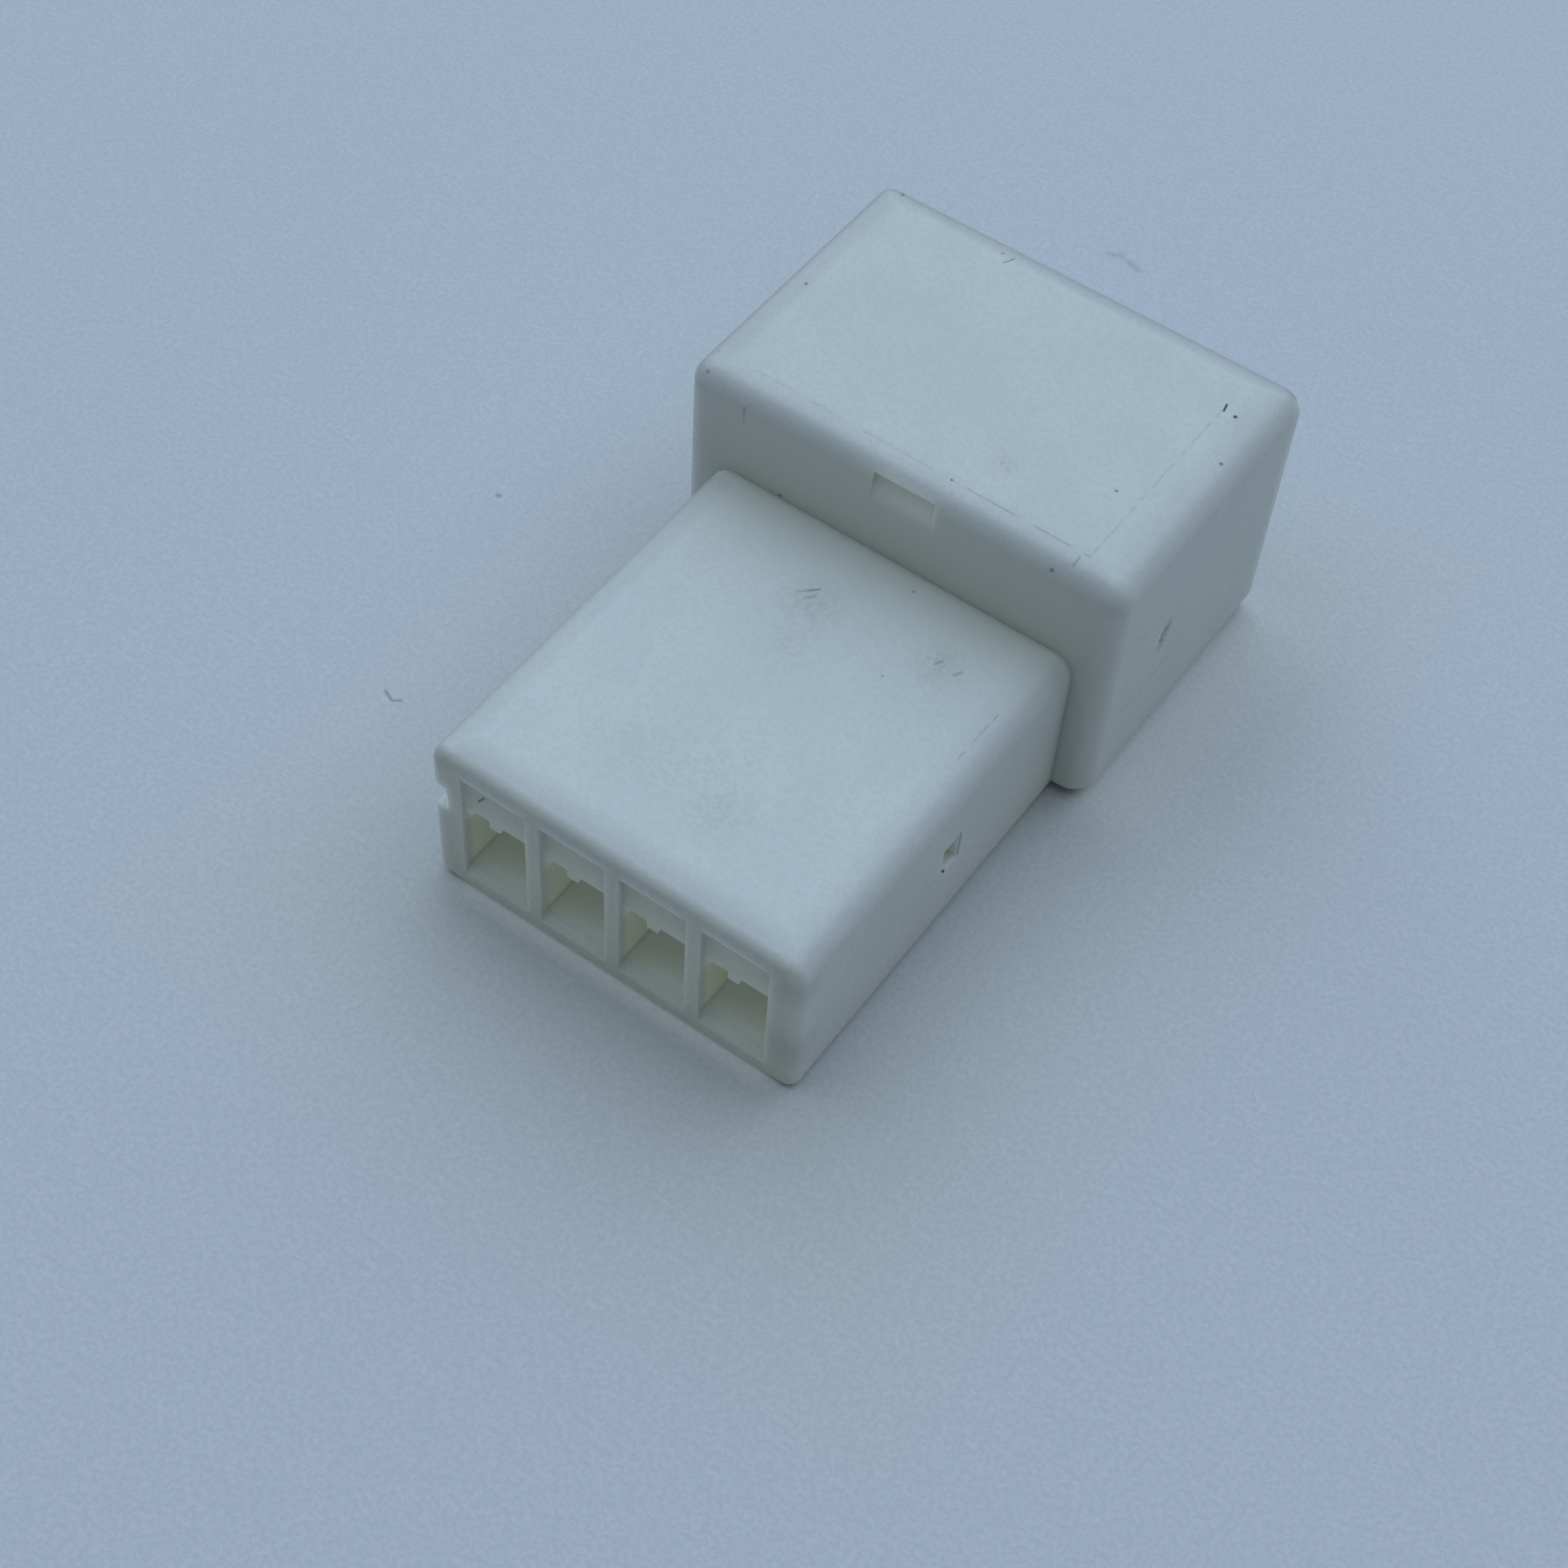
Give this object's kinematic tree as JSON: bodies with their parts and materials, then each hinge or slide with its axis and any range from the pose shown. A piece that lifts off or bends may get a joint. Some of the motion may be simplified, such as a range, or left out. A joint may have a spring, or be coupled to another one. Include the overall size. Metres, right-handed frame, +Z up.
{
  "type": "wire to board connector housing",
  "caption": "Moulded nylon connector housing: a low block with a row of wire entries, and a larger open hood behind it for the mating connector.",
  "frame": {"origin": "centre of the footprint, on the flat underside", "axes": "+Z up from the underside, +Y from the wire face towards the open mouth of the hood, +X across the row of terminals"},
  "size_m": [0.0136, 0.0212, 0.0085],
  "materials": {
    "nylon": "natural uncoloured nylon, milky and slightly translucent, fine satin grain"
  },
  "bodies": {
    "root": {"housing": "nylon"}
  },
  "joints": []
}
